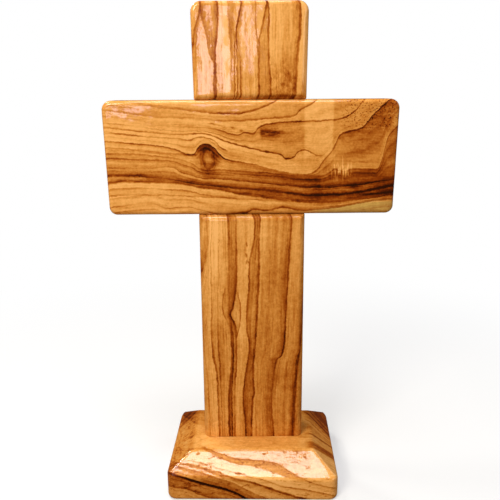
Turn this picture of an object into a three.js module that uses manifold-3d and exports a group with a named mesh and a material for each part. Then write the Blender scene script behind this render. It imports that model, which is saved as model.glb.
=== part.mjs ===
// A standing table cross of olive wood.
// Three short boards (lower post, crossbar, upper arm) meet edge to end with hidden fluted dowels, and two
// wood screws driven up through a bevelled base hold the post.
// Millimetres. +Z is up, and someone facing the cross looks along +Y with +X on their right.
// The origin is the centre of the base's underside.
import * as THREE from "three";
import { ConvexGeometry } from "three/addons/geometries/ConvexGeometry.js";
import { mergeVertices } from "three/addons/utils/BufferGeometryUtils.js";
import Module from "manifold-3d";

const wasm = await Module();
wasm.setup();

// ---- driving dimensions -------------------------------------------------------------------------------

const TOTAL_HEIGHT = 200;
const GLUE_LINE = 0.2; // between two glued faces

const base = {
  width: 72,
  depth: 54.8,
  height: 18,
  topWidth: 52, // the flat that the post stands on
  topDepth: 33.4,
  cornerRadius: 4, // of the upright corners, seen from above
  topCornerRadius: 1,
  footRadius: 1.2, // where the sides turn under
  // Height of the upright sides at each corner. The front bevel was planed a little deeper on the right.
  sideHeight: { frontLeft: 11.9, frontRight: 9.7, backRight: 10.8, backLeft: 10.8 },
};

const boardThickness = 14;
const freeCorner = 4; // radius of the corners that meet no other board
// Each board's front and back edges are eased all round by its arris radius.
const post = { width: 43.2, height: 100.4, arris: 2 };
const crossbar = { bottomWidth: 114.6, topWidth: 116.6, height: 45, arris: 1.3 };
const arm = { bottomWidth: 43.7, topWidth: 44.9, arris: 2 };

const dowel = { radius: 3, fluteDepth: 0.25, flutes: 12, length: 30, chamfer: 1 };
const dowelBore = { radius: 3.15, depth: 16 };
const fixingSpacing = 22; // between the two dowels, and the two screws, of a joint

const screw = {
  length: 35,
  headRadius: 4,
  headHeight: 2.3,
  shankRadius: 1.9,
  coreRadius: 1.3,
  threadRadius: 2,
  threadPitch: 1.8,
  threadLength: 22,
  tipLength: 3,
  slotWidth: 1.1,
  slotLength: 5,
  slotDepth: 1.5,
};
const screwPocket = { radius: 4.6, depth: 5, clearance: 0.3 }; // in the base's underside

// ---- places worked out from them ----------------------------------------------------------------------

const postBottom = base.height + GLUE_LINE;
const crossbarBottom = postBottom + post.height + GLUE_LINE;
const armBottom = crossbarBottom + crossbar.height + GLUE_LINE;
const armHeight = TOTAL_HEIGHT - armBottom;
const screwTop = screwPocket.depth + screw.length;

// ---- materials ----------------------------------------------------------------------------------------

const oliveWood = new THREE.MeshStandardMaterial({ color: 0xcd8538, roughness: 0.22, metalness: 0 });
const beech = new THREE.MeshStandardMaterial({ color: 0xd8b98c, roughness: 0.7, metalness: 0 });
const zincSteel = new THREE.MeshStandardMaterial({ color: 0xc4c6c4, roughness: 0.35, metalness: 1 });

// ---- cutting with manifold-3d -------------------------------------------------------------------------

function solidOf(geometry) {
  const bare = geometry.clone();
  bare.deleteAttribute("normal");
  bare.deleteAttribute("uv");
  const merged = mergeVertices(bare, 1e-4);
  return new wasm.Manifold(
    new wasm.Mesh({
      numProp: 3,
      vertProperties: new Float32Array(merged.attributes.position.array),
      triVerts: new Uint32Array(merged.index.array),
    }),
  );
}

function geometryOf(solid) {
  const mesh = solid.getMesh();
  const geometry = new THREE.BufferGeometry();
  geometry.setAttribute("position", new THREE.BufferAttribute(mesh.vertProperties, 3));
  geometry.setIndex(new THREE.BufferAttribute(mesh.triVerts, 1));
  geometry.computeVertexNormals();
  return geometry;
}

function cut(geometry, cutters) {
  const whole = solidOf(geometry);
  return geometryOf(cutters.reduce((rest, cutter) => rest.subtract(solidOf(cutter)), whole));
}

function namedMesh(name, geometry, material) {
  const mesh = new THREE.Mesh(geometry, material);
  mesh.name = name;
  return mesh;
}

// ---- boards -------------------------------------------------------------------------------------------
// A board is drawn as its front view, with x across and y up from the middle of its lower edge.

// Corners run anticlockwise, each { x, y, radius }, and a radius of 0 leaves a corner square.
function roundedOutline(corners) {
  const shape = new THREE.Shape();
  corners.forEach((corner, i) => {
    const here = new THREE.Vector2(corner.x, corner.y);
    if (corner.radius === 0) {
      if (i === 0) shape.moveTo(here.x, here.y);
      else shape.lineTo(here.x, here.y);
      return;
    }
    const before = corners[(i + corners.length - 1) % corners.length];
    const after = corners[(i + 1) % corners.length];
    const incoming = here.clone().sub(before).normalize();
    const outgoing = new THREE.Vector2(after.x, after.y).sub(here).normalize();
    const turn = Math.acos(incoming.dot(outgoing));
    const setback = corner.radius * Math.tan(turn / 2);
    const start = here.clone().addScaledVector(incoming, -setback);
    const centre = start.clone().add(new THREE.Vector2(-incoming.y, incoming.x).multiplyScalar(corner.radius));
    const startAngle = Math.atan2(start.y - centre.y, start.x - centre.x);
    shape.absarc(centre.x, centre.y, corner.radius, startAngle, startAngle + turn, false);
  });
  return shape;
}

// A four-sided board, symmetrical left to right, with its front and back edges eased all round.
function boardGeometry({ bottomWidth, topWidth, height, arris, bottomRadius, topRadius }) {
  const shape = roundedOutline([
    { x: -bottomWidth / 2, y: 0, radius: bottomRadius },
    { x: bottomWidth / 2, y: 0, radius: bottomRadius },
    { x: topWidth / 2, y: height, radius: topRadius },
    { x: -topWidth / 2, y: height, radius: topRadius },
  ]);
  const geometry = new THREE.ExtrudeGeometry(shape, {
    depth: boardThickness - 2 * arris,
    bevelSize: arris,
    bevelThickness: arris,
    bevelOffset: -arris,
    bevelSegments: 4,
    curveSegments: 6,
  });
  geometry.translate(0, 0, arris - boardThickness / 2);
  return geometry;
}

// The two blind holes for a joint's dowels, opening at height y; into is 1 to bore upwards and -1 downwards.
function dowelBores(y, into) {
  const overrun = 1;
  return [-1, 1].map((side) => {
    const hole = new THREE.CylinderGeometry(dowelBore.radius, dowelBore.radius, dowelBore.depth + overrun, 24);
    return hole.translate((side * fixingSpacing) / 2, y + (into * (dowelBore.depth - overrun)) / 2, 0);
  });
}

// The holes that the screws' threads cut in the post's end grain.
function screwBores() {
  const overrun = 1;
  const wallGap = 0.2;
  const length = screwTop - postBottom + wallGap;
  return [-1, 1].map((side) => {
    const radius = screw.threadRadius + wallGap;
    const hole = new THREE.CylinderGeometry(radius, radius, length + overrun, 20);
    return hole.translate((side * fixingSpacing) / 2, (length - overrun) / 2, 0);
  });
}

// Stands a board up in the part's frame with its lower edge at height z.
function standingBoard(name, geometry, z) {
  const mesh = namedMesh(name, geometry, oliveWood);
  mesh.rotation.x = Math.PI / 2;
  mesh.position.z = z;
  return mesh;
}

// The post's foot is sawn square, so it is drawn longer by its arris and the eased end is cut off.
function makeLowerPost() {
  const whole = boardGeometry({
    ...post,
    bottomWidth: post.width,
    topWidth: post.width,
    height: post.height + post.arris,
    bottomRadius: 0,
    topRadius: 0,
  });
  whole.translate(0, -post.arris, 0);
  const sawnOff = new THREE.BoxGeometry(2 * post.width, 2 * post.arris, 2 * boardThickness);
  sawnOff.translate(0, -post.arris, 0);
  const bores = [...screwBores(), ...dowelBores(post.height, -1)];
  return standingBoard("lower_post", cut(whole, [sawnOff, ...bores]), postBottom);
}

function makeCrossbar() {
  const whole = boardGeometry({ ...crossbar, bottomRadius: freeCorner, topRadius: freeCorner });
  const bores = [...dowelBores(0, 1), ...dowelBores(crossbar.height, -1)];
  return standingBoard("crossbar", cut(whole, bores), crossbarBottom);
}

function makeUpperArm() {
  const whole = boardGeometry({ ...arm, height: armHeight, bottomRadius: 0, topRadius: freeCorner });
  return standingBoard("upper_arm", cut(whole, dowelBores(0, 1)), armBottom);
}

// ---- base ---------------------------------------------------------------------------------------------

// Points round a rectangle with rounded corners, whose height is given at each corner.
function cornerPoints(width, depth, radius, heights) {
  const steps = 4;
  const corners = [
    { sx: 1, sy: 1, z: heights.backRight, from: 0 },
    { sx: -1, sy: 1, z: heights.backLeft, from: Math.PI / 2 },
    { sx: -1, sy: -1, z: heights.frontLeft, from: Math.PI },
    { sx: 1, sy: -1, z: heights.frontRight, from: (3 * Math.PI) / 2 },
  ];
  return corners.flatMap(({ sx, sy, z, from }) =>
    Array.from({ length: steps + 1 }, (_, i) => {
      const angle = from + (i * Math.PI) / 2 / steps;
      const x = sx * (width / 2 - radius) + radius * Math.cos(angle);
      const y = sy * (depth / 2 - radius) + radius * Math.sin(angle);
      return new THREE.Vector3(x, y, z);
    }),
  );
}

function level(z) {
  return { frontLeft: z, frontRight: z, backRight: z, backLeft: z };
}

// The pocket, countersink and clearance hole for one screw, turned about its axis.
function screwPocketCutter() {
  const shank = screw.shankRadius + screwPocket.clearance;
  const seat = screw.headRadius + screwPocket.clearance;
  const overrun = 1;
  const profile = [
    [0, -overrun],
    [screwPocket.radius, -overrun],
    [screwPocket.radius, screwPocket.depth],
    [seat, screwPocket.depth],
    [shank, screwPocket.depth + screw.headHeight],
    [shank, base.height + overrun],
    [0, base.height + overrun],
  ];
  const points = profile.map(([r, z]) => new THREE.Vector2(r, z));
  return new THREE.LatheGeometry(points, 24).rotateX(Math.PI / 2);
}

function makeBase() {
  const foot = base.footRadius;
  const footSteps = 3;
  const footRings = Array.from({ length: footSteps + 1 }, (_, i) => {
    const angle = (i * Math.PI) / 2 / footSteps;
    const inset = foot * (1 - Math.sin(angle));
    const z = foot * (1 - Math.cos(angle));
    const radius = base.cornerRadius - inset;
    return cornerPoints(base.width - 2 * inset, base.depth - 2 * inset, radius, level(z));
  });
  const shoulder = cornerPoints(base.width, base.depth, base.cornerRadius, base.sideHeight);
  const top = cornerPoints(base.topWidth, base.topDepth, base.topCornerRadius, level(base.height));
  const whole = new ConvexGeometry([...footRings.flat(), ...shoulder, ...top]);
  const pockets = [-1, 1].map((side) => screwPocketCutter().translate((side * fixingSpacing) / 2, 0, 0));
  return namedMesh("base_block", cut(whole, pockets), oliveWood);
}

// ---- dowels and screws --------------------------------------------------------------------------------

// A fluted dowel that stands upright, centred on a joint face at height z.
function makeDowel(name, x, z) {
  const section = new THREE.Shape();
  const points = Array.from({ length: 2 * dowel.flutes }, (_, i) => {
    const angle = (i * Math.PI) / dowel.flutes;
    const r = dowel.radius - (i % 2) * dowel.fluteDepth;
    return new THREE.Vector2(r * Math.cos(angle), r * Math.sin(angle));
  });
  section.setFromPoints(points);
  const geometry = new THREE.ExtrudeGeometry(section, {
    depth: dowel.length - 2 * dowel.chamfer,
    bevelSize: dowel.chamfer / 2,
    bevelThickness: dowel.chamfer,
    bevelOffset: -dowel.chamfer / 2,
    bevelSegments: 1,
  });
  geometry.translate(0, 0, dowel.chamfer - dowel.length / 2);
  const mesh = namedMesh(name, geometry, beech);
  mesh.position.set(x, 0, z);
  return mesh;
}

// Radius of the screw at a height above its head's flat face and an angle round its axis.
function screwRadius(height, angle) {
  const threadStart = screw.length - screw.threadLength;
  if (height < screw.headHeight) {
    const share = height / screw.headHeight;
    return screw.headRadius + (screw.shankRadius - screw.headRadius) * share;
  }
  if (height < threadStart) return screw.shankRadius;
  const turn = (height - threadStart) / screw.threadPitch - angle / (2 * Math.PI);
  const across = turn - Math.floor(turn);
  const ridge = Math.max(0, 1 - Math.abs(across - 0.5) * 4);
  const taper = Math.min(1, (screw.length - height) / screw.tipLength);
  return taper * (screw.coreRadius + (screw.threadRadius - screw.coreRadius) * ridge);
}

// Heights at which the screw's surface has a ring of vertices.
function screwRings() {
  const threadStart = screw.length - screw.threadLength;
  const stepsPerTurn = 4;
  const steps = Math.round((screw.threadLength / screw.threadPitch) * stepsPerTurn);
  const thread = Array.from({ length: steps }, (_, i) => threadStart + (i * screw.threadLength) / steps);
  return [0, screw.headHeight, threadStart - screw.threadPitch / stepsPerTurn, ...thread];
}

// A countersunk wood screw that points up, its head's flat face at height z.
function makeScrew(name, x, z) {
  const around = 16;
  const rings = screwRings();
  const points = [new THREE.Vector2(0, 0), ...rings.map((height) => new THREE.Vector2(1, height))];
  points.push(new THREE.Vector2(0, screw.length));
  const geometry = new THREE.LatheGeometry(points, around).rotateX(Math.PI / 2);
  const position = geometry.attributes.position;
  for (let i = 0; i < position.count; i += 1) {
    const unit = Math.hypot(position.getX(i), position.getY(i));
    if (unit < 0.5) continue;
    const angle = Math.atan2(position.getY(i), position.getX(i));
    const radius = screwRadius(position.getZ(i), angle);
    position.setXY(i, radius * Math.cos(angle), radius * Math.sin(angle));
  }
  const slots = [0, Math.PI / 2].map((angle) =>
    new THREE.BoxGeometry(screw.slotLength, screw.slotWidth, 2 * screw.slotDepth).rotateZ(angle),
  );
  const mesh = namedMesh(name, cut(geometry, slots), zincSteel);
  mesh.position.set(x, 0, z);
  return mesh;
}

// ---- the whole cross ----------------------------------------------------------------------------------

const cross = new THREE.Group();
cross.add(makeBase(), makeLowerPost(), makeCrossbar(), makeUpperArm());
for (const [side, sign] of [
  ["left", -1],
  ["right", 1],
]) {
  const x = (sign * fixingSpacing) / 2;
  cross.add(makeScrew(`base_screw_${side}`, x, screwPocket.depth));
  cross.add(makeDowel(`lower_dowel_${side}`, x, crossbarBottom - GLUE_LINE / 2));
  cross.add(makeDowel(`upper_dowel_${side}`, x, armBottom - GLUE_LINE / 2));
}

export default cross;
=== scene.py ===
"""A standing cross of lacquered olive wood on a bevelled base.

The scene is in metres. The shapes and the wood's own formulas are in millimetres. The front of the cross
faces -Y.
"""

import math

import bmesh
import bpy
import numpy as np
from mathutils import Matrix, Vector, noise


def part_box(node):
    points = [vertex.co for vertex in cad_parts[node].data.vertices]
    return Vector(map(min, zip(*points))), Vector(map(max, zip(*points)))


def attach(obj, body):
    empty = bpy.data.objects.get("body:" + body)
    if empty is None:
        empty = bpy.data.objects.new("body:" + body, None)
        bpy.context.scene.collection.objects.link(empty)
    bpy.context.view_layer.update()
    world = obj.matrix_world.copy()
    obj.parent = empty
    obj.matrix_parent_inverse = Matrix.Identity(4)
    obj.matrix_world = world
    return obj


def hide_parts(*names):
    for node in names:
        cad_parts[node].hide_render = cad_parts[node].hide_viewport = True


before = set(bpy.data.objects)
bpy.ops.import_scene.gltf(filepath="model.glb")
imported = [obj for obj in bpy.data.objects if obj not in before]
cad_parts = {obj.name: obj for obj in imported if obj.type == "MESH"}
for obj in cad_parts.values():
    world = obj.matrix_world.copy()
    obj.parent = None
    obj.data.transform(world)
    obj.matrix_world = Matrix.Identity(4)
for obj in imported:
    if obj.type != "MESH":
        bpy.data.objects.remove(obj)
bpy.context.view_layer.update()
MM = 0.001


# ---- solid shapes ----
# A shape is a function of points, in millimetres, that is negative inside the wood and positive outside it.

# The widths over which two surfaces that meet are rounded into each other.
SIDE_BLEND = 0.35
PLANED_BLEND = 0.6
SAWN_BLEND = 0.25
FOOT_BLEND = 2.2
HIP_BLEND = 0.5
TOP_BLEND = 0.8

# The base's flat top, as half its width and half its depth, its upright sides and its corners.
FLAT_X, FLAT_Y = 26.0, 16.7
FRONT_LEFT_RIM, FRONT_RIGHT_RIM, BACK_RIM = 11.9, 9.9, 10.8
BASE_CORNER = 4.0


def soft_max(a, b, blend):
    """The larger of a and b, with the corner between them rounded over the width blend."""
    overlap = np.maximum(blend - np.abs(a - b), 0) / blend
    return np.maximum(a, b) + overlap * overlap * blend / 4


def outline_distance(x, z, half_width, half_height, corner):
    """Distance from the outline of a rectangle about the origin whose corners have the radius corner."""
    qx = np.abs(x) - half_width + corner
    qz = np.abs(z) - half_height + corner
    outside = np.hypot(np.maximum(qx, 0), np.maximum(qz, 0))
    return outside + np.minimum(np.maximum(qx, qz), 0) - corner


def board_shape(low, high, halves, corners, ease, wander, square_foot):
    """An upright board whose front and back edges are planed off and softened.

    halves and corners are half the width and the corner radius at the bottom and the top. ease is the width
    of the planed edge, which departs from a straight one by wander. A square foot is left as sawn.
    """
    middle = (low[2] + high[2]) / 2
    half_height = (high[2] - low[2]) / 2
    half_depth = (high[1] - low[1]) / 2
    foot = 5 * ease if square_foot else 0

    def shape(p):
        x, y, z = p[:, 0], p[:, 1], p[:, 2] - middle
        share = np.clip(z / half_height, -1, 1) / 2 + 0.5
        half_width = halves[0] + (halves[1] - halves[0]) * share
        corner = np.where(z > 0, corners[1], corners[0])
        side = outline_distance(x, z + foot / 2, half_width, half_height + foot / 2, corner)
        face = np.abs(y) - half_depth
        planed = (side + face + ease + wander) / math.sqrt(2)
        whole = soft_max(soft_max(side, face, SIDE_BLEND), planed, PLANED_BLEND)
        return soft_max(whole, -z - half_height, SAWN_BLEND) if square_foot else whole

    return shape


def base_shape(half_x, half_y, top, wander):
    """The base: upright sides, four bevels up to the flat, softened edges and a rounded foot."""
    def shape(p):
        x, y, z = p[:, 0], p[:, 1], p[:, 2]

        def bevel(away, flat, half, rim):
            run, rise = half - flat, top - rim
            return ((away - flat) * rise + (z - top) * run) / np.hypot(run, rise)

        rightward = np.clip(x / half_x, -1, 1) / 2 + 0.5
        forward = np.clip(-y / half_y, -1, 1) / 2 + 0.5
        front = FRONT_LEFT_RIM + (FRONT_RIGHT_RIM - FRONT_LEFT_RIM) * rightward
        left = BACK_RIM + (FRONT_LEFT_RIM - BACK_RIM) * forward
        right = BACK_RIM + (FRONT_RIGHT_RIM - BACK_RIM) * forward
        along = np.maximum(bevel(-y, FLAT_Y, half_y, front), bevel(y, FLAT_Y, half_y, BACK_RIM))
        across = np.maximum(bevel(-x, FLAT_X, half_x, left), bevel(x, FLAT_X, half_x, right))
        side = outline_distance(x, y, half_x, half_y, BASE_CORNER)
        upper = soft_max(soft_max(along, across, HIP_BLEND), z - top, TOP_BLEND)
        return soft_max(soft_max(side, -z, FOOT_BLEND), upper, TOP_BLEND) + wander

    return shape


# ---- meshes ----

def steps(low, high, edge_low, edge_high, edge_step, step):
    """Coordinates from low to high, closer together within edge_low of the start and edge_high of the end."""
    first = np.linspace(low, low + edge_low, max(1, round(edge_low / edge_step)) + 1)
    last = np.linspace(high - edge_high, high, max(1, round(edge_high / edge_step)) + 1)
    span = high - edge_high - low - edge_low
    middle = np.linspace(low + edge_low, high - edge_high, max(1, round(span / step)) + 1)
    return np.concatenate([first, middle[1:-1], last])


# The corners of a grid cell, in the two directions round it. Then, for each pair of sides of a box, the axis
# they face along, the other two, and the directions that turn the low and the high side outward.
U_FIRST = ((0, 0), (1, 0), (1, 1), (0, 1))
V_FIRST = ((0, 0), (0, 1), (1, 1), (1, 0))
SIDES = ((2, 0, 1, V_FIRST, U_FIRST), (1, 0, 2, U_FIRST, V_FIRST), (0, 1, 2, V_FIRST, U_FIRST))


def box_grid(*lines):
    """Points and four-sided faces of a closed box with a grid line at each of the listed x, y and z."""
    points = []
    index = {}

    def at(axis, level, u, v):
        place = (u, v)[:axis] + (level,) + (u, v)[axis:]
        if place not in index:
            index[place] = len(points)
            points.append([line[i] for line, i in zip(lines, place)])
        return index[place]

    faces = []
    for axis, u_axis, v_axis, low_turn, high_turn in SIDES:
        for u in range(len(lines[u_axis]) - 1):
            for v in range(len(lines[v_axis]) - 1):
                for level, turn in ((0, low_turn), (len(lines[axis]) - 1, high_turn)):
                    faces.append([at(axis, level, u + du, v + dv) for du, dv in turn])
    return np.array(points), faces


def slope_of(shape, points, small=0.01):
    """The direction in which a shape's value grows fastest at each point, and how fast."""
    slope = np.empty_like(points)
    for axis in range(3):
        offset = np.zeros(3)
        offset[axis] = small
        slope[:, axis] = (shape(points + offset) - shape(points - offset)) / (2 * small)
    return slope


def settle(points, shape, rounds=8):
    """Moves each point to the nearest place on the surface of the shape."""
    for _ in range(rounds):
        slope = slope_of(shape, points)
        speed = np.maximum((slope * slope).sum(axis=1), 0.05)
        points = points - slope * (shape(points) / speed)[:, None]
    return points


def smooth_noise(points, size, seed):
    """Noise between about -1 and 1 that varies over the given size, in millimetres."""
    away = Vector((seed * 17.3, seed * 5.1, seed * 9.7))
    return np.array([noise.noise(Vector(p) / size + away) for p in points])


def add_to_scene(name, data, location=(0, 0, 0)):
    thing = bpy.data.objects.new(name, data)
    thing.location = location
    bpy.context.scene.collection.objects.link(thing)
    return thing


def solid_piece(name, points, faces):
    mesh = bpy.data.meshes.new(name)
    mesh.from_pydata([tuple(p) for p in points * MM], [], faces)
    mesh.validate()
    mesh.shade_smooth()
    return add_to_scene(name, mesh)


def lofted_solid(outlines):
    """A closed solid through outlines, in millimetres, with the same number of points each."""
    bm = bmesh.new()
    rings = [[bm.verts.new(Vector(point) * MM) for point in outline] for outline in outlines]
    for lower, upper in zip(rings, rings[1:]):
        for corners in zip(lower, lower[1:] + lower[:1], upper[1:] + upper[:1], upper):
            bm.faces.new(corners)
    bm.faces.new(rings[0][::-1])
    bm.faces.new(rings[-1])
    bmesh.ops.recalc_face_normals(bm, faces=bm.faces)
    mesh = bpy.data.meshes.new("cutter")
    bm.to_mesh(mesh)
    bm.free()
    return add_to_scene("cutter", mesh)


def turned_solid(profile, x, around=48):
    """A solid turned about the upright line at x, from a profile of (radius, height) in millimetres."""
    turn = [2 * math.pi * i / around for i in range(around)]
    return lofted_solid([[(x + radius * math.cos(t), radius * math.sin(t), height) for t in turn]
                         for radius, height in profile])


def slit_solid(path, front, depth):
    """A thin wedge that follows a crack along a front face, from a path of (x, height, width).

    It flares towards the surface, and is deeper where the crack is wider.
    """
    outlines = []
    for (x, z, width), before, after in zip(path, path[:1] + path[:-1], path[1:] + path[-1:]):
        run = Vector((after[0] - before[0], 0, after[1] - before[1])).normalized()
        across = Vector((-run.z, 0, run.x)) * width / 2
        lip = Vector((x, front - 1, z))
        floor = Vector((x, front + depth * width ** 0.5, z))
        outlines.append([lip + across * 1.6, lip - across * 1.6, floor - across * 0.2, floor + across * 0.2])
    return lofted_solid(outlines)


SHARP = math.radians(40)


def cut(piece, cutters):
    """Cuts solids out of a piece and shades it smooth up to its real edges."""
    for cutter in cutters:
        hole = piece.modifiers.new("hole", "BOOLEAN")
        hole.operation = "DIFFERENCE"
        hole.solver = "EXACT"
        hole.object = cutter
        bpy.context.view_layer.objects.active = piece
        bpy.ops.object.modifier_apply(modifier=hole.name)
        bpy.data.objects.remove(cutter)
    piece.data.shade_smooth()
    piece.data.set_sharp_from_angle(angle=SHARP)


# ---- the four wooden pieces ----

def node_box(node):
    """A node's lowest and highest corners in millimetres."""
    low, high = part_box(node)
    return np.array(low) / MM, np.array(high) / MM


post_low, post_high = node_box("lower_post")
bar_low, bar_high = node_box("crossbar")
arm_low, arm_high = node_box("upper_arm")
base_low, base_high = node_box("base_block")
dowel_low, dowel_high = node_box("lower_dowel_right")
dowel_x = (dowel_low[0] + dowel_high[0]) / 2
screw_top = node_box("base_screw_left")[1][2]
FRONT = round(post_low[1], 2)  # the front face of the three boards
FRONT_OF_BASE = round(base_low[1], 2)

# Two boards share the film of glue between them, so they touch.
foot_joint = (base_high[2] + post_low[2]) / 2
lower_joint = (post_high[2] + bar_low[2]) / 2
upper_joint = (bar_high[2] + arm_low[2]) / 2
post_low[2] = base_high[2]
post_high[2] = bar_low[2] = lower_joint
bar_high[2] = arm_low[2] = upper_joint

DOWEL_BORE_RADIUS = 3.15
DOWEL_BORE_DEPTH = 16
PILOT_RADIUS = 2.2
HEAD_RADIUS = 4.6
HEAD_POCKET_DEPTH = 5
EDGE_STEP, FACE_STEP, THICKNESS_STEP = 0.35, 0.7, 0.8  # the mesh spacing of a board
FINE_X, FINE_Y = 11, 11.4  # how far in from its sides the base's mesh is finer


def pair_of_bores(profile):
    """Two holes of one profile, on the left and right lines of the dowels and screws."""
    return [turned_solid(profile, -dowel_x), turned_solid(profile, dowel_x)]


def dowel_bores(z, into):
    """The two blind dowel holes that open at height z; into is 1 for up and -1 for down."""
    ends = sorted([z - into * 2, z + into * DOWEL_BORE_DEPTH])
    return pair_of_bores([(DOWEL_BORE_RADIUS, end) for end in ends])


def make_board(name, low, high, halves, corners, ease, seed, shift=0, square_foot=False, finer=0.0):
    """A board with hand-sanded faces that are flat to a few hundredths of a millimetre.

    shift is how far to the right of the middle it was glued. finer is how much less its edges are planed at
    the left and the top.
    """
    edge = ease + 1.2
    ends = [max(corner, edge) + 0.6 for corner in corners]
    side = max(ends)
    widest = max(halves)
    points, faces = box_grid(steps(-widest, widest, side, side, EDGE_STEP, FACE_STEP),
                             steps(low[1], high[1], edge, edge, EDGE_STEP, THICKNESS_STEP),
                             steps(low[2], high[2], *ends, EDGE_STEP, FACE_STEP))
    leftward = np.clip(-2 * points[:, 0] / widest - 0.8, 0, 1)
    upward = np.clip((points[:, 2] - high[2]) / 5 + 1.3, 0, 1)
    wander = 0.22 * smooth_noise(points, 9, seed) - finer * np.maximum(leftward, upward)
    shape = board_shape(low, high, halves, corners, ease, wander, square_foot)
    points = settle(points, shape)
    slope = slope_of(shape, points)
    normal = slope / np.linalg.norm(slope, axis=1)[:, None]
    waves = 0.03 * smooth_noise(points, 16, seed + 3) + 0.008 * smooth_noise(points, 5, seed + 7)
    clear_of_joint = np.abs(normal[:, 2]) < 0.9
    points = points + normal * (waves * clear_of_joint - 0.02)[:, None]
    points[:, 0] += shift
    return solid_piece(name, points, faces)


def make_post():
    piece = make_board("post_board", post_low, post_high, halves=(21.6, 21.6), corners=(0.6, 0.6), ease=1.7,
                       seed=1, square_foot=True)
    pilot = [(PILOT_RADIUS, foot_joint - 2), (PILOT_RADIUS, screw_top + 0.2)]
    crack = [(19.9, 58.5, 0.1), (19.4, 56.6, 0.35), (18.9, 54.7, 0.5), (18.5, 52.5, 0.4), (18.6, 50.5, 0.1)]
    cut(piece, [*pair_of_bores(pilot), *dowel_bores(post_high[2], -1), slit_solid(crack, FRONT, 0.8)])
    return piece


def make_bar():
    piece = make_board("crossbar_board", bar_low, bar_high, halves=(57.45, 58.3), corners=(3.2, 3.8),
                       ease=1.0, seed=2, shift=-0.2)
    crack = [(46.0, 158.4, 0.1), (46.9, 159.0, 0.4), (48.3, 159.8, 0.5), (49.4, 160.8, 0.1)]
    cut(piece, [*dowel_bores(bar_low[2], 1), *dowel_bores(bar_high[2], -1), slit_solid(crack, FRONT, 0.7)])
    return piece


def make_arm():
    piece = make_board("arm_board", arm_low, arm_high, halves=(21.95, 22.45), corners=(0.6, 4.2), ease=1.6,
                       seed=3, shift=-0.35, finer=0.75)
    cut(piece, dowel_bores(arm_low[2], 1))
    return piece


# The base was screwed on turned a little clockwise, seen from above.
BASE_TURN = math.radians(-1.3)


def make_base():
    half_x, half_y, top = base_high
    points, faces = box_grid(steps(-half_x, half_x, FINE_X, FINE_X, 0.5, 0.75),
                             steps(-half_y, half_y, FINE_Y, FINE_Y, 0.5, 0.75),
                             steps(0, top, 2.5, 9, 0.4, 0.6))
    wander = 0.05 * smooth_noise(points, 12, 4) + 0.02 * smooth_noise(points, 4, 6)
    wander = np.where(points[:, 2] < 2, 0, np.abs(wander))
    piece = solid_piece("base_body", settle(points, base_shape(half_x, half_y, top, wander)), faces)
    crack = [(-33.5, 11.9, 0.1), (-30, 11.3, 0.3), (-26.7, 10.6, 0.55), (-23, 9.4, 0.65), (-19.8, 8.2, 0.75),
             (-16, 7.3, 0.6), (-12.3, 6.1, 0.7), (-9, 4.6, 0.55), (-5.9, 2.7, 0.6), (-2.6, 1.4, 0.3)]
    cut(piece, [slit_solid(crack, -half_y, 0.9)])
    piece.data.transform(Matrix.Rotation(BASE_TURN, 4, "Z"))
    pocket = [(HEAD_RADIUS, -1), (HEAD_RADIUS, HEAD_POCKET_DEPTH), (4.3, HEAD_POCKET_DEPTH + 0.01)]
    cut(piece, pair_of_bores([*pocket, (PILOT_RADIUS, 7.3), (PILOT_RADIUS, top + 1)]))
    return piece


post, bar, arm, base = make_post(), make_bar(), make_arm(), make_base()
for piece, node in ((post, "lower_post"), (bar, "crossbar"), (arm, "upper_arm"), (base, "base_block")):
    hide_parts(node)
    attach(piece, "root")


# ---- numbers worked out by shader nodes ----

def give(slot, value):
    """Puts a plain value in a node's socket, or links the Num that works it out."""
    if isinstance(value, Num):
        slot.id_data.links.new(value.socket, slot)
    else:
        slot.default_value = value


def give_all(node, values):
    for name, value in values.items():
        give(node.inputs[name], value)


def add_node(tree, kind, values, **settings):
    """A shader node with its settings, and with values for its first sockets, or for named ones in a dict."""
    node = tree.nodes.new("ShaderNode" + kind)
    for setting, value in settings.items():
        setattr(node, setting, value)
    give_all(node, values if isinstance(values, dict) else dict(enumerate(values)))
    return node


def arithmetic(operation):
    return lambda self, *others: self.math(operation, *others)


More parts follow.
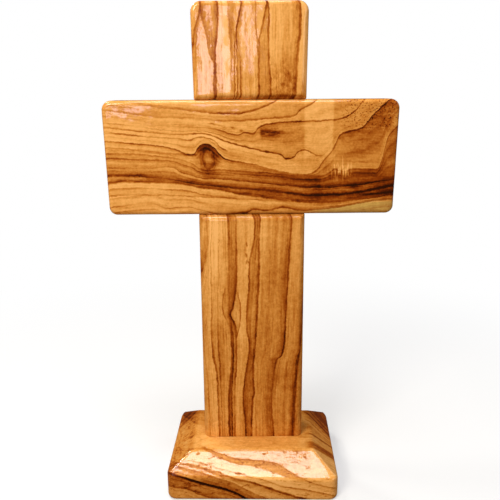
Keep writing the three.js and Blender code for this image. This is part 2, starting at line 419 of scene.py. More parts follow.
class Num:
    """A number that a material works out at each point of a surface."""

    def __init__(self, socket):
        self.socket = socket
        self.tree = socket.id_data

    def math(self, operation, *others):
        return Num(add_node(self.tree, "Math", (self, *others), operation=operation).outputs[0])

    __add__ = __radd__ = arithmetic("ADD")
    __sub__ = arithmetic("SUBTRACT")
    __mul__ = __rmul__ = arithmetic("MULTIPLY")
    __truediv__ = arithmetic("DIVIDE")
    larger = arithmetic("MAXIMUM")
    smaller = arithmetic("MINIMUM")

    def __rsub__(self, other):
        return self.math("MULTIPLY_ADD", -1, other)

    def clip(self):
        return self.larger(0).smaller(1)

    def mapped(self, low, high, step, start=0, end=1):
        values = (self, low, high, start, end)
        node = add_node(self.tree, "MapRange", values, interpolation_type=step, clamp=False)
        return Num(node.outputs["Result"])

    def rise(self, low, high):
        """0 below low, 1 above high and a smooth step between them, or the reverse if high is below low."""
        if high < low:
            return self.mapped(high, low, "SMOOTHSTEP", 1, 0)
        return self.mapped(low, high, "SMOOTHSTEP")

    def between(self, low, high):
        """The share of the way from low to high."""
        return self.mapped(low, high, "LINEAR")

    def bump(self, centre, width):
        """1 at centre, falling away to both sides."""
        share = (self - centre) / width
        return (share * share * -1.0).math("EXPONENT")

    def traced(self, points, handles="AUTO_CLAMPED"):
        """A smooth curve through points, each (number from 0 to 1, value from 0 to 1)."""
        node = add_node(self.tree, "FloatCurve", {"Value": self})
        curve = node.mapping.curves[0]
        while len(curve.points) < len(points):
            curve.points.new(0.5, 0.5)
        for point, (at, value) in zip(curve.points, sorted(points)):
            point.location = (at, value)
            point.handle_type = handles
        node.mapping.use_clip = False
        node.mapping.extend = "HORIZONTAL"
        node.mapping.update()
        return Num(node.outputs["Value"])

    def ramp(self, stops):
        """Straight lines between stops, each (number from 0 to 1, value from 0 to 1)."""
        return self.traced(stops, "VECTOR")

    def follow(self, points):
        """A smooth curve through points, each (number, value)."""
        low, high = points[0][0], points[-1][0]
        return self.between(low, high).traced([((at - low) / (high - low), value) for at, value in points])

    def tint(self, stops):
        """Blends between stops, each (number from 0 to 1, linear colour)."""
        node = add_node(self.tree, "ValToRGB", {"Fac": self})
        elements = node.color_ramp.elements
        while len(elements) < len(stops):
            elements.new(0.5)
        for element, (at, colour) in zip(elements, stops):
            element.position = at
            element.color = (*colour, 1)
        return Num(node.outputs["Color"])


def vector(x, y, z):
    tree = next(axis.tree for axis in (x, y, z) if isinstance(axis, Num))
    return Num(add_node(tree, "CombineXYZ", (x, y, z)).outputs[0])


def cloud(place, detail, rough, seed, scale=1):
    """Soft random values from about 0.2 to 0.8, centred on 0.5, whose blobs are 1 / scale across."""
    values = {"Vector": place, "W": seed, "Scale": scale, "Detail": detail, "Roughness": rough}
    return Num(add_node(place.tree, "TexNoise", values, noise_dimensions="4D").outputs["Fac"])


def dice(number):
    """A random value from 0 to 1 for each whole number."""
    return Num(add_node(number.tree, "TexWhiteNoise", {"W": number}, noise_dimensions="1D").outputs["Value"])


def place_in_mm(tree):
    """The three coordinates of a point of the object, in millimetres."""
    place = Num(tree.nodes.new("ShaderNodeTexCoord").outputs["Object"])
    return tuple(Num(axis) * 1000 for axis in add_node(tree, "SeparateXYZ", (place,)).outputs)


def mix_colours(share, first, second):
    return Num(add_node(share.tree, "Mix", {0: share, 6: first, 7: second}, data_type="RGBA").outputs[2])


def relief(height, distance, strength=1):
    """A normal for a surface that is raised by height times distance, in metres."""
    values = {"Height": height, "Distance": distance, "Strength": strength}
    return Num(add_node(height.tree, "Bump", values).outputs[0])


def srgb(red, green, blue):
    """Linear colour from the usual 0 to 255 values."""
    shares = (red / 255, green / 255, blue / 255)
    return tuple(share / 12.92 if share <= 0.04045 else ((share + 0.055) / 1.055) ** 2.4 for share in shares)


def new_material(name):
    material = bpy.data.materials.new(name)
    material.use_nodes = True
    tree = material.node_tree
    return material, tree, tree.nodes["Principled BSDF"]


# ---- olive wood ----

# From clear wood, 0, to a black streak, 1.
OLIVE_TONES = [
    (0, srgb(251, 188, 110)),
    (0.14, srgb(240, 175, 95)),
    (0.28, srgb(222, 153, 71)),
    (0.42, srgb(198, 126, 48)),
    (0.56, srgb(170, 92, 22)),
    (0.7, srgb(138, 60, 5)),
    (0.84, srgb(98, 35, 1)),
    (1, srgb(46, 15, 1)),
]
SAPWOOD_TONES = [(0.16, srgb(206, 166, 84)), (0.62, srgb(150, 84, 24))]
LINE_REACH = 6  # how far to each side of a growth line its shading can go
FRINGE = 0.07  # how much paler than its surroundings the wood is beside a line


def share_of(span, value):
    low, high = span
    return (value - low) / (high - low)


class Board:
    """The figure of one board, built from the growth lines that cross its front face.

    along and across count along the grain and across it on the front face, and depth behind that face. lean
    is how far the lines move across for each millimetre of depth, so that the edges and the back carry the
    figure on.
    """

    def __init__(self, along, across, depth, span_along, span_across, lean, seed, contrast):
        self.span_along = span_along
        self.span_across = span_across
        self.seed = seed
        self.contrast = contrast
        self.along = along
        self.depth = depth
        place = vector(along * 0.3, across * 0.5, depth * 0.5)
        ragged = vector(along * 0.8, across * 0.8, depth * 0.8)
        wiggle = (cloud(place, 2, 0.5, seed) - 0.5) * 0.9 + (cloud(ragged, 2, 0.6, seed) - 0.5) * 0.7
        self.across = across + depth * lean + wiggle
        self.along_share = along.between(*span_along)
        self.patches = vector(along * 0.22, across * 0.5, depth * 0.1)
        self.across_share = share_of(span_across, self.across)
        self.lines = []
        self.darkness = None

    def darken(self, amount):
        self.darkness = amount if self.darkness is None else self.darkness + amount

    def line(self, path, width, dark, shade, reach, fade=None, kind="ring"):
        """Adds a dark growth line along a path of (along, across) points, and returns how far away it is.

        dark is its own darkness. shade is that of the wood beside it, as far as reach: below or left of it
        if reach is negative, and above or right if positive. fade is its strength at places along it. The
        finer rings follow every line except a "branch".
        """
        traced = self.along_share.traced([(share_of(self.span_along, a), share_of(self.span_across, c))
                                          for a, c in path])
        away = self.across_share - traced
        if kind == "ring":
            self.lines.append((away, path))
        low, high = self.span_across
        patchy = cloud(self.patches, 2, 0.5, abs(path[0][1]) + 0.4)
        across_line = away.math("MULTIPLY_ADD", (high - low) / (2 * LINE_REACH), 0.5)
        core = width / (4 * LINE_REACH)
        soft = abs(reach) / (2 * LINE_REACH)
        clear = [(2.6 * core, 0), (1.4 * core, 0), (0.7 * core, dark * 0.8)]
        shaded = [(soft + 1.6 * core, FRINGE), (soft / 2.2 + 1.6 * core, shade * 0.45 + FRINGE),
                  (1.6 * core, shade + FRINGE), (0.7 * core, max(dark * 0.8, shade) + FRINGE)]
        before, after = (shaded, clear) if reach < 0 else (clear, shaded)
        stops = [(0.5 - a, v) for a, v in before] + [(0.5 + a, v) for a, v in after[::-1]]
        amount = across_line.ramp([(0, FRINGE), *stops, (0.5, dark + FRINGE), (1, FRINGE)]) - FRINGE
        amount = amount * (patchy * (1.7 * self.contrast) + 0.25 * self.contrast)
        if fade:
            amount = amount * self.along_share.traced([(share_of(self.span_along, a), s) for a, s in fade])
        self.darken(amount)
        return away

    def draw(self, lines):
        """Adds the growth lines of a table, in which each row is the path and then what line takes."""
        return [self.line(*row) for row in lines]

    def flow(self):
        """A number in millimetres that counts across the grain and keeps pace with every growth line."""
        low, high = self.span_across
        middle = sum(self.span_along) / 2
        spots = [np.interp(middle, *zip(*sorted(path))) for _, path in self.lines]
        first, last = self.lines[0][0], self.lines[-1][0]
        total = first.smaller(0) * (high - low)
        for (near, _), (far, _), gap in zip(self.lines, self.lines[1:], np.diff(spots)):
            share = (near / (near - far).larger(0.0004)).clip()
            total = share.math("MULTIPLY_ADD", float(gap), total)
        return last.larger(0).math("MULTIPLY_ADD", high - low, total)

    def streaks(self, flow, contrast):
        """Long soft streaks that run with the grain, broad and narrow."""
        broad = cloud(vector(flow * 0.16, self.along * 0.018, self.depth * 0.1), 2, 0.5, self.seed + 0.3)
        narrow = cloud(vector(flow * 0.75, self.along * 0.03, self.depth * 0.3), 3, 0.6, self.seed + 0.7)
        self.darken((broad - 0.5) * (0.9 * contrast) + (narrow - 0.5) * (0.8 * contrast))

    def rings(self, flow, spacing, dark, seed, drift=3):
        """Growth rings that darken slowly and end sharply, each of its own strength."""
        wander = cloud(vector(flow * 0.12, self.along * 0.008, 0), 1, 0.5, seed)
        count = (flow / spacing) + (wander - 0.5) * drift
        which = count.math("FLOOR")
        part = count.math("FRACT")
        shape = part.ramp([(0, 0), (0.35, 0.06), (0.66, 0.3), (0.86, 1), (0.94, 0.8), (1, 0)])
        patchy = cloud(vector(self.along * 0.05, flow * 0.3, self.depth * 0.1), 2, 0.5, seed + 4)
        return shape * (dice(which + seed * 7) * 0.75 + 0.25) * patchy.rise(0.3, 0.68) * dark


def upright_grain(x, y, z):
    return vector(x * 1.3, y * 1.3, z * 0.09)


def level_grain(x, y, z):
    return vector(x * 0.09, y * 1.3, z * 1.3)


def lacquered_wood(name, figure):
    """A material for one board.

    figure(x, y, z) gives its darkness, its share of sapwood, the place that stretches its fibres along the
    grain, and how much duller the lacquer is.
    """
    material, tree, shader = new_material(name)
    x, y, z = place_in_mm(tree)
    darkness, sapwood, grain_place, dullness = figure(x, y, z)
    fibre = cloud(grain_place, 4, 0.7, 3.1)
    pores = cloud(grain_place, 1, 0.5, 8.7, scale=2.1).rise(0.62, 0.74)
    grit = cloud(vector(x, y, z), 2, 0.7, 6.2, scale=1.25)
    cells = cloud(vector(x, y, z), 2, 0.6, 4.6, scale=0.42)
    texture = (fibre - 0.5) * 0.34 + (grit - 0.5) * 0.3 + (cells - 0.5) * 0.26 + pores * 0.09
    tone = (darkness + texture).clip()
    colour = tone.tint(OLIVE_TONES)
    if sapwood is not None:
        colour = mix_colours(sapwood, colour, tone.tint(SAPWOOD_TONES))
    open_grain = darkness if dullness is None else darkness + dullness
    gloss = (open_grain + (grit - 0.5) * 0.5 + (fibre - 0.5) * 0.3).rise(0.39, 0.31)
    orange_peel = cloud(vector(x, y, z), 1, 0.5, 5, scale=0.16)
    film = orange_peel + cloud(grain_place, 1, 0.5, 2, scale=0.3) * 0.12 - tone * 0.06
    give_all(shader, {
        "Base Color": colour,
        "Roughness": 0.55 - fibre * 0.16,
        "Specular IOR Level": 0.05,
        "Normal": relief(fibre * 0.4 - pores * 0.5, 0.00006, 0.35),
        "Coat Weight": gloss * 0.92 + 0.08,
        "Coat Roughness": 0.05,
        "Coat IOR": 1.5,
        "Coat Normal": relief(film, 0.00018, 0.6),
    })
    return material


# ---- the figure of each board ----
# In a table of growth lines, a row is a path of given points and then the line's width, dark, shade
# and reach, and its fade and kind where it has them. The rows stand in their order across the grain.

POST_LINES = [
    ([(0, -22.5), (60, -22), (74, -20.7), (77.5, -20), (85, -18.6), (97, -17.6), (101, -17.4)],
     1, 0.16, 0.22, -2.4, [(60, 0), (72, 0.7), (78, 1), (101, 0.8)]),
    ([(0, -15.1), (17, -15.3), (30, -15.6), (40, -17.1), (50, -17.5), (64, -17), (81, -17), (101, -16)],
     0.6, 0.3, 0.08, 2, [(0, 1), (40, 0.9), (60, 0.6), (101, 0.8)]),
    ([(0, -13.6), (17, -13.8), (30, -14.2), (52, -14.9), (64, -14.6), (80, -13.8), (101, -13.4)],
     0.4, 0.18, 0.05, 1, [(0, 0.8), (40, 1), (60, 0.6), (101, 0.9)]),
    ([(0, -10.6), (17, -10.6), (24, -10.2), (40, -8.9), (52, -9.4), (68, -9.9), (85, -9.6), (101, -9.5)],
     0.9, 0.36, 0.08, 1.8, [(0, 1), (20, 1), (35, 0.8), (60, 0.5), (75, 0.6), (84, 0.5), (92, 1)]),
    ([(0, -9.3), (22, -9.2), (36, -8.3), (45, -8.2), (54, -8.9), (60, -9.5), (101, -8)],
     0.6, 0.34, 0.05, -1, [(0, 1), (36, 1), (50, 0.7), (56, 0)], "branch"),
    ([(0, -8), (22, -7.9), (36, -7), (45, -6.9), (54, -7.8), (57.5, -9.3), (61, -8.2), (69, -7.1), (73, -6.6),
      (101, -6.4)],
     0.7, 0.3, 0.12, -2, [(0, 0.9), (30, 0.7), (50, 0.9), (58, 1.3), (66, 0.9), (101, 0.8)]),
    ([(40, -7.5), (49, -6.4), (52, -5.5), (56, -5.1), (61, -5), (64, -5.4), (69, -6.4), (76, -7.5)],
     0.6, 0.3, 0.08, -2.5, [(46, 0), (50, 1), (64, 1), (68, 0)], "branch"),
    ([(45, -9.5), (54, -10.6), (58, -12.2), (63, -12.6), (66, -12.2), (70, -11)],
     0.6, 0.26, 0.06, 1.2, [(52, 0), (57, 0.8), (66, 1), (70, 0)], "branch"),
    ([(0, -3.1), (10, -3.7), (17, -4.2), (24, -3.9), (34, -2.5), (44, -1.4), (52, -2.5), (59, -2.3),
      (72, -1.3), (80, -1.1), (84, -0.4), (92, 1.1), (101, 1.2)], 0.7, 0.34, 0.08, 2),
    ([(0, -0.8), (17, -0.3), (22, 0.4), (31, 0.1), (41, 0.8), (54, 1.7), (77, 2.7), (96, 3.1), (101, 3.7)],
     0.8, 0.42, 0.18, -3.6, [(0, 1), (40, 1), (60, 0.8), (101, 0.9)]),
    ([(0, 9.2), (17, 8.1), (27, 8.8), (34, 9.6), (37, 10.4), (38.6, 12.3), (43, 13.4), (54, 13.9), (72, 14.7),
      (90, 15.7), (101, 16.4)],
     0.7, 0.32, 0.16, -4.6, [(0, 0.9), (30, 0.7), (40, 1.3), (60, 1.1), (101, 0.8)]),
    ([(0, 17.7), (22, 18.4), (32, 19), (37, 19.6), (43, 20.8), (52, 21.6), (101, 26)],
     1.3, 0.34, 0.12, -2, [(0, 1), (30, 1), (52, 0.8)]),
]


def post_figure(x, y, z):
    """Upright growth lines that spread towards the top, which is paler, partly as painted light."""
    up = z - foot_joint
    wood = Board(up, x, y - FRONT, (-1, 101), (-30, 30), 0.55, 1, 0.9)
    wood.draw(POST_LINES)
    flow = wood.flow()
    wood.streaks(flow, 0.46)
    left = x.rise(-1, -14)
    wood.darken(wood.rings(flow, 1.25, 0.28, 2) * (left * 0.75 + 0.25))
    wood.darken(wood.rings(flow, 3.1, 0.18, 6))
    figure = cloud(vector(x * 0.06, y * 0.1, z * 0.14), 2, 0.5, 2) - 0.5
    # Darker towards the bottom and the right: partly the wood's own tone and partly painted shade, falling
    # off from the light at the upper left.
    wood.darken(figure * 0.15 + up.follow([(0, 0.37), (30, 0.35), (60, 0.3), (85, 0.24), (101, 0.16)])
                + x.rise(-22, 22) * 0.12)
    dashes = cloud(vector(x * 0.9, y, z * 0.4), 2, 0.5, 3).rise(0.5, 0.7) * x.bump(-2.1, 0.7)
    wood.darken(dashes * up.rise(70, 76) * up.rise(94, 86) * 0.5)
    wood.darken(x.bump(-2.3, 0.5) * up.bump(83.4, 0.8) * 0.4)
    # Painted highlight: a pale upright streak near the upper left of the post stands in for a reflection.
    pale = cloud(vector(x * 0.8, y * 0.5, z * 0.03), 2, 0.5, 6).rise(0.42, 0.6)
    wood.darken(pale * x.bump(-15.5, 4.5) * up.rise(68, 82) * -0.18)
    # Painted shadow: the post is darker just under the crossbar.
    wood.darken(up.rise(96, 99.6) * 0.11)
    return wood.darkness, None, upright_grain(wood.across, y, z), None


ARM_LINES = [
    ([(0, -24), (15, -22.6), (21, -21.7), (24.5, -21.2), (28.5, -20.2), (31.5, -19.2), (37, -18.9)],
     0.8, 0.26, 0.1, 1),
    ([(0, -13.9), (7, -14), (13.5, -14), (15.4, -14.9), (19, -15.9), (23, -16.5), (27.3, -17.4), (31, -18.4),
      (37, -18.6)],
     0.9, 0.3, 0.17, 3.5, [(0, 0.9), (14, 1), (37, 0.9)]),
    ([(0, -13.5), (14, -13.5), (17, -13.6), (21.4, -13), (27, -12.4), (37, -12.3)], 0.7, 0.34, 0.16, -2.5),
    ([(0, -7.3), (10, -7.5), (16, -7.3), (21, -7.6), (28, -8), (37, -7.9)],
     1.2, 0.4, 0.14, 2.4, [(0, 0.9), (18, 1.3), (28, 1), (34, 0.6)]),
    ([(0, -6.3), (21, -6.1), (37, -5.9)], 0.5, 0.34, 0, 1, [(0, 1), (18, 1), (26, 0)]),
    ([(0, -5.2), (18, -5.2), (24, -5.5), (29, -4.8), (33, -3.9), (37, -3.2)], 0.6, 0.38, 0.14, 1.6),
    ([(0, -4), (12, -4), (20, -3.9), (37, -2)], 0.5, 0.3, 0.1, 1.6, [(0, 1), (12, 0.8), (18, 0)]),
    ([(0, 2.9), (15, 2.9), (21, 2.6), (25.5, 2), (30, 1.8), (37, 2.1)], 0.7, 0.4, 0.08, 1.5),
    ([(0, 3.4), (19, 3.4), (21, 3.2), (25.5, 4), (30, 5), (33, 5.7), (37, 6.2)],
     0.6, 0.32, 0.08, 1, [(0, 0), (18, 0.2), (22, 1), (37, 1)]),
    ([(0, 7.7), (7, 7.6), (15, 7), (21, 6.8), (30, 6.9), (37, 6.4)], 0.7, 0.4, 0.1, -2),
    ([(0, 17), (9, 17.5), (15, 17.7), (20, 17.9), (24, 18.6), (30, 18.6), (37, 18.2)], 0.9, 0.34, 0.16, -2.5),
]


def arm_figure(x, y, z):
    """Pale wood between upright lines, with a smoky patch at the lower right and painted shade along the
    lower edge.
    """
    up = z - upper_joint
    wood = Board(up, x, y - FRONT, (-1, 37), (-30, 30), 0.5, 2, 0.85)
    wood.draw(ARM_LINES)
    flow = wood.flow()
    wood.streaks(flow, 0.8)
    wood.darken(wood.rings(flow, 1.3, 0.22, 1))
    wood.darken(x.rise(-22, 22) * -0.01 + 0.25)
    smoke = up.rise(21, 5) * x.rise(3, 11) * x.rise(18.5, 16.5)
    mottle = cloud(vector(x * 0.55, y * 0.5, z * 0.35), 3, 0.7, 2)
    wood.darken(smoke * (mottle.rise(0.25, 0.75) * 0.34 + 0.06))
    # Painted shade: the lower edge, which faces down onto the crossbar, is darker.
    wood.darken(up.rise(2.3, 1) * 0.14)
    wood.darken(x.rise(17.2, 19.2) * up.rise(11, 2) * 0.22)
    worn = cloud(vector(x * 0.8, y * 0.5, up * 0.22), 3, 0.6, 9).rise(0.44, 0.6)
    return wood.darkness, None, upright_grain(wood.across, y, z), worn * 0.13


# The first line is the edge of the sapwood along the foot.
BAR_LINES = [
    ([(-60, 3.2), (-48, 4.6), (-40, 5.2), (-34, 3.4), (-26, 3.6), (-20, 2.2), (-12, 0.6), (-3, 0.7), (1, 2.2),
      (6, 1.7), (12, 2.9), (20, 1.8), (30, 2.4), (39.4, 3.7), (43, 4.4), (48.5, 5.4), (60, 6.4)],
     0.8, 0.34, 0.1, 2.5, [(-60, 0.3), (-30, 0.4), (-12, 0.4), (-3, 1), (12, 1), (22, 0.4), (36, 1),
      (60, 1)]),
    ([(-60, 7.8), (-48, 8.3), (-30, 8), (-20, 7.3), (0, 6.3), (14, 5.2), (60, 4)],
     0.6, 0.22, 0.08, 2, [(-60, 1), (-10, 1), (14, 0.4), (20, 0)], "branch"),
    ([(-60, 12.9), (-50, 13.9), (-44, 13.7), (-33, 13.3), (-24, 12.3), (-21, 11.4), (-13, 10.6), (-6, 9),
      (3, 7.6), (12, 6.2), (27, 4.8), (34, 4.9), (41, 5.6), (50, 6.7), (56, 7.7), (60, 8.2)],
     1.3, 0.42, 0.18, 2.4, [(-60, 0.9), (-45, 1), (-30, 0.8), (-20, 1.1), (0, 1.1), (26, 0.4), (60, 0.3)]),
    ([(-60, 16), (-48, 16.3), (-39, 15.5), (-30, 14.4), (-24, 13.2), (-16, 12.1), (-8, 11.2), (10, 9.4),
      (24, 7.6), (36, 7.9), (60, 12)],
     0.9, 0.34, 0.08, 1.2, [(-60, 1), (-45, 0.9), (-36, 0.4), (-26, 0.5), (-10, 0.7), (60, 0.9)]),
    ([(-60, 19.3), (-42, 18.8), (-35, 19.5), (-31, 19.1), (-28, 17.3), (-24, 16.1), (-20.5, 15), (-13, 14.6),
      (0, 13.2), (15, 11.6), (25, 10.8), (40, 11.6), (60, 14.5)],
     0.6, 0.26, 0.1, 1.6, [(-60, 0.7), (-36, 0.5), (-28, 1), (-13, 0.8), (20, 1), (60, 1)]),
    ([(-60, 25), (-45, 24.5), (-38, 23.8), (-31, 23), (-25.7, 21.6), (-23.2, 20.5), (-21, 18.8),
      (-17.5, 17.9), (-13, 18.2), (-8, 17.9), (0, 17.2), (8, 16.6), (14, 16), (21.6, 15.2), (28, 15.4),
      (31.7, 17.2), (33.1, 18.1), (37, 17.2), (40.7, 18.1), (49.4, 17.8), (51.1, 20), (52.8, 27), (54, 31),
      (56.5, 34), (60, 38)],
     0.7, 0.34, 0.1, -3, [(-60, 0.8), (-24, 0.6), (0, 0.5), (14, 0.3), (26, 0.5), (32, 0.8), (60, 0.8)]),
    ([(-60, 27.5), (-47, 26.3), (-38, 25.4), (-27, 24.4), (-20, 23.9), (60, 23)],
     0.6, 0.28, 0.1, -1.6, [(-60, 0.8), (-30, 1), (-23, 0.8), (-21, 0)], "branch"),
    ([(-60, 29.9), (-44, 28.5), (-37, 27.8), (-30, 26.4), (-26, 24.8), (-23, 24.5), (-21.3, 26.6),
      (-19.8, 28), (-17.9, 28.4), (-15.5, 27.4), (-12.8, 24.6), (-9.8, 22.3), (-1, 20.6), (13, 17),
      (21, 16), (25, 17.2), (28.6, 21.5), (32, 25.6), (33.4, 28.5), (34.7, 31.3), (37, 32.4), (43.3, 34.2),
      (45.3, 36.3), (47.4, 39), (51.4, 42.8), (60, 51)],
     0.6, 0.44, 0.08, -2, [(-60, 0.5), (-26, 0.45), (-23, 0.55), (-20.5, 1.1), (-13, 1.2), (-9, 0.6),
      (0, 0.4), (22, 0.5), (30, 0.8), (38, 0.6), (47, 0.9), (60, 1)]),
    ([(-60, 32.9), (-48, 32), (-38, 31), (-29, 30.5), (-24.4, 29.9), (-22, 30.8), (-19.4, 31.1),
      (-16.5, 30.4), (-14.4, 29.5), (-12.7, 27.5), (-9.5, 25.7), (60, 20)],
     0.5, 0.34, 0.06, -1, [(-60, 0.6), (-30, 0.7), (-22, 1), (-12, 1.2), (-9, 0)], "branch"),
    ([(-60, 35.4), (-44, 33.4), (-37, 32.8), (-28, 32.1), (-20, 32.4), (-14, 31), (-11, 29.6), (-5, 27.8),
      (3, 25.8), (12, 23.7), (13.7, 22.3), (16.6, 22.9), (18.2, 24.8), (20.6, 25.7), (24, 24.5), (27, 23.4),
      (30, 25.4), (33, 30), (36, 33.3), (43, 35.2), (46, 38.2), (52, 45), (60, 52)],
     0.6, 0.46, 0.05, 1.5, [(-60, 0.45), (-30, 0.5), (-20, 0.9), (16, 1), (23, 0.7), (28, 0.3), (32, 0)]),
    ([(-60, 39.4), (-51, 38.7), (-44, 37.7), (-37, 35.9), (-28, 35.2), (-14, 34.1), (-8.3, 32.3),
      (-5.4, 31.7), (-2.6, 32.7), (0.4, 32.2), (3.1, 34.8), (9.6, 36.3), (20, 36.9), (33.7, 37.5),
      (37.4, 38.7), (41.4, 41.8), (46, 48), (60, 52.6)],
     0.6, 0.42, 0.05, -1.6, [(-60, 0.35), (-20, 0.5), (-10, 0.9), (38, 1), (42, 0.6), (50, 0)]),
    ([(-60, 42), (-51, 40.8), (-37, 39.2), (-22, 38.3), (-8, 37.2), (6, 38), (13, 38.4), (17.4, 39.4),
      (18.9, 41.1), (21, 42.2), (24.4, 44.2), (28, 48), (60, 52.8)],
     0.7, 0.38, 0.1, 1.5, [(-60, 0.25), (-30, 0.4), (0, 0.9), (30, 1)]),
    ([(-60, 46.5), (-44, 44), (-37, 42.7), (-29, 41.9), (-15, 40.2), (-8, 39.9), (-1, 40.6), (3, 41.9),
      (7.4, 43.6), (9.5, 44.9), (14, 48), (60, 52.9)],
     0.7, 0.4, 0.05, 1.5, [(-60, 0.1), (-37, 0.3), (-15, 0.8), (0, 1)]),
]


def knot(x, up):
    """Darkness of the knot: brown wood under an arch of growth lines, round a paler core."""
    right, above = x + 17, up - 22.9
    arch = (up - 28.3) + (((x + 18.1) * (x + 18.1) / 4.84 + 1).math("SQRT") - 1) * 2.39
    ragged = cloud(vector(x * 0.55, up * 0.4, 0), 3, 0.6, 7) - 0.5
    round_core = (right * right / 6.2 + above * above / 21).math("SQRT") + ragged * 1
    core = round_core.between(0, 2.4).ramp([
        (0, 0.1), (0.2, 0.14), (0.31, 0.34), (0.4, 0.42), (0.47, 0.22), (0.54, 0.28), (0.64, 0.12),
        (0.8, 0.06), (1, 0)])
    under = arch.rise(-0.2, -1.8) * core
    eaves = (arch + ragged * 1.4).between(-6, 4).ramp([
        (0, 0), (0.2, 0.06), (0.3, 0.2), (0.36, 0.08), (0.44, 0.24), (0.52, 0.1), (0.57, 0.22),
        (0.6, 0), (0.78, 0), (0.8, 0.2), (0.83, 0), (1, 0)])
    near = (right * right / 26 + above * above / 60).rise(1.2, 0.5)
    return under + eaves * near


def bar_tone(wood, x, up, flow):
    """Finer rings, and the board's general darkness, which grows to the right and is lifted at the upper left
    by painted light.
    """
    left = x.rise(8, -24)
    wood.streaks(flow, 0.55)
    wood.darken(wood.rings(flow, 2.1, 0.42, 1, 1.2) * (left * 0.8 + 0.2) * (up.rise(42, 34) * 0.5 + 0.5))
    wood.darken(wood.rings(flow, 0.9, 0.16, 9) * flow.rise(26, 18))
    layers = flow.follow([
        (0, 0.26), (7, 0.22), (8.8, 0.36), (10.7, 0.3), (12.5, 0.29), (15, 0.36), (15.6, 0.3), (17, 0.25),
        (19, 0.24), (26, 0.24), (31, 0.27), (36, 0.25), (45, 0.13)])
    # The general darkness grows to the right; the upper left is a little paler, painted light where the lamp
    # falls.
    wood.darken(layers + x.follow([(-60, -0.02), (-25, -0.01), (0, 0.06), (40, 0.09), (60, 0.12)])
                - x.rise(-5, -35) * up.rise(22, 36) * 0.045)


def heartwood(wood, x, up, flow, strands):
    """The dark brown strands that run from the middle to the lower right, with their darkest spots."""
    heart = (flow + x.rise(4, 24) * 1.8).rise(6.6, 8.2) * flow.rise(15.7, 13.4)
    heart = heart * (1 - x.rise(49, 53) * up.rise(14, 22) * 0.7)
    heart = heart * x.follow([
        (-60, 0), (-25, 0.03), (-5, 0.16), (8, 0.32), (18, 0.4), (25, 0.47), (34, 0.44), (44, 0.44),
        (60, 0.46)])
    wood.darken(heart * (strands.rise(0.3, 0.68) * 0.3 + 0.47))
    upper = flow.rise(13.2, 15) * flow.rise(18.8, 17.4) * x.rise(-14, 8) * x.rise(29, 23)
    wood.darken(upper * (strands.rise(0.3, 0.7) * 0.26 + 0.1))
    wood.darken(x.bump(26, 1.8) * up.bump(11, 6) * strands.rise(0.2, 0.7) * 0.2)
    wood.darken(x.bump(29.5, 3.4) * up.bump(18.6, 3.2) * (strands.rise(0.2, 0.7) * 0.2 + 0.08))
    wood.darken(x.bump(41, 2.6) * up.bump(11.2, 1.1) * 0.3)
    wood.darken(x.rise(36, 44) * (up - x * 0.07 - 4.7).bump(0, 0.5) * 0.22)
    wood.darken(x.rise(44, 54) * up.rise(15, 11) * up.rise(5, 8) * 0.16)
    wood.darken(x.bump(54.4, 1.4) * up.bump(34.6, 2.2) * strands.rise(0.2, 0.6) * 0.36)


def bar_marks(wood, x, y, z, up, flow):
    """Pale strokes across the grain, a layered upper corner, specks, a smudge, blots and a painted patch of
    light.
    """
    across = cloud(vector(x * 1.5, y, up * 0.16), 3, 0.6, 8).rise(0.5, 0.6)
    wood.darken(across * x.bump(35.8, 3.6) * up.bump(18, 3.8) * (y - FRONT).rise(6, 1) * -0.62)
    corner = x.rise(26, 36) * flow.rise(15.5, 18) * flow.rise(22, 20)
    wood.darken(corner * (cloud(vector(x * 0.12, y * 0.3, z * 0.5), 3, 0.6, 6) * 0.42 - 0.08))
    speckle = cloud(vector(x * 1.3, y, z * 1.6), 1, 0.5, 9).rise(0.55, 0.68)
    wood.darken(speckle * x.rise(32, 40) * up.rise(31, 37) * (y - FRONT).rise(6, 1) * 0.36)
    near_front = (y - FRONT).rise(9, 2)
    smoke = cloud(vector(x * 0.3, y * 0.5, z * 1), 3, 0.6, 6)
    smudge = x.follow([
        (-60, 0), (2.4, 0), (4, 0.6), (8, 0.66), (10.6, 0.55), (12.5, 0.25), (17, 0.1), (60, 0)])
    wood.darken(smudge * up.bump(32.6, 1.9) * smoke.rise(0.22, 0.72) * near_front)
    blots = cloud(vector(x * 0.5, y * 0.5, up * 1.1), 3, 0.65, 2)
    for along, above, size in ((-15.3, 36.2, 1.5), (-11, 34.9, 1.7), (-7.2, 34.5, 1.2), (-3.8, 33.3, 0.9)):
        blot = x.bump(along, size) * (up + (x - along) * 0.25).bump(above, 0.5)
        wood.darken(blot * blots.rise(0.3, 0.6) * near_front * 0.4)
    # Painted light: an upright patch on the front is paler, as if light fell on it.
    wood.darken(x.rise(20.2, 21.4) * x.rise(32.6, 31.6) * up.rise(20, 27) * near_front * -0.18)


def bar_figure(x, y, z):
    """Level growth lines that arch over a knot, dark heartwood below them and pale sapwood at the foot."""
    up = z - lower_joint
    wood = Board(x, up, y - FRONT, (-60, 60), (-8, 53), 0.45, 3, 0.9)
    sap_edge = wood.draw(BAR_LINES)[0]
    flow = wood.flow()
    bar_tone(wood, x, up, flow)
    wood.darken(knot(x, up))
    strands = cloud(vector(x * 0.04, y * 0.2, flow * 0.9), 3, 0.65, 5)
    heartwood(wood, x, up, flow, strands)
    bar_marks(wood, x, y, z, up, flow)
    sap_share = sap_edge.rise(0.01, -0.006) * x.rise(18, 32) * strands.rise(0.28, 0.52)
    return wood.darkness, sap_share, level_grain(x, y, wood.across), None


